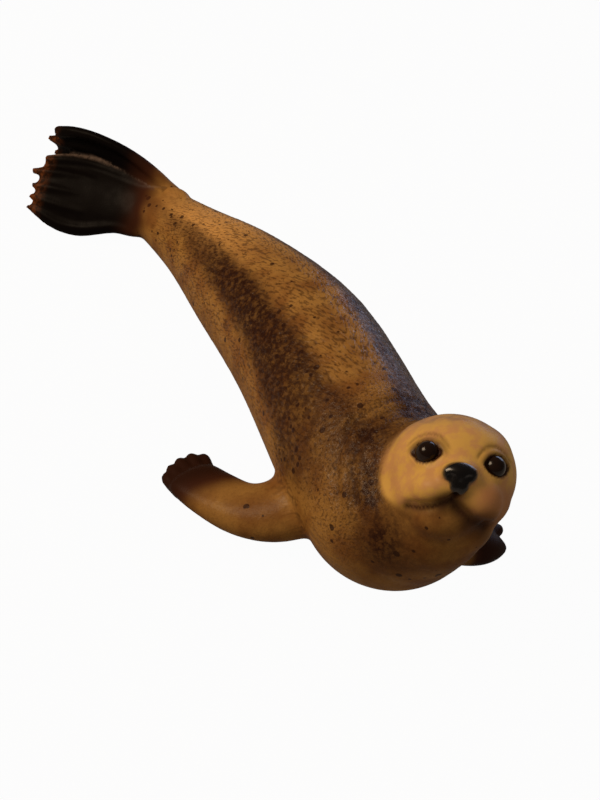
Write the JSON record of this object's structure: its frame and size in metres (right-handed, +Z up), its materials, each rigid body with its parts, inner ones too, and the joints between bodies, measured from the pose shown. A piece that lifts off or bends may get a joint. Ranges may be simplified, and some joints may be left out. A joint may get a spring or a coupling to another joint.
{
  "type": "seal figurine",
  "caption": "Small moulded figurine of a young harbour seal lying on its belly with raised head, bent body, webbed hind flippers and clawed front flippers.",
  "frame": {"origin": "under the middle of the bounding box, on the flat belly", "axes": "+Z up, +Y towards the tail along the body's length, the head faces -Y, the seal's right side is -X"},
  "size_m": [0.0466, 0.1258, 0.0323],
  "materials": {
    "vinyl": "soft vinyl, painted tan with dark brown speckles and flippers, semi-gloss"
  },
  "bodies": {
    "root": {"seal": "vinyl"}
  },
  "joints": []
}
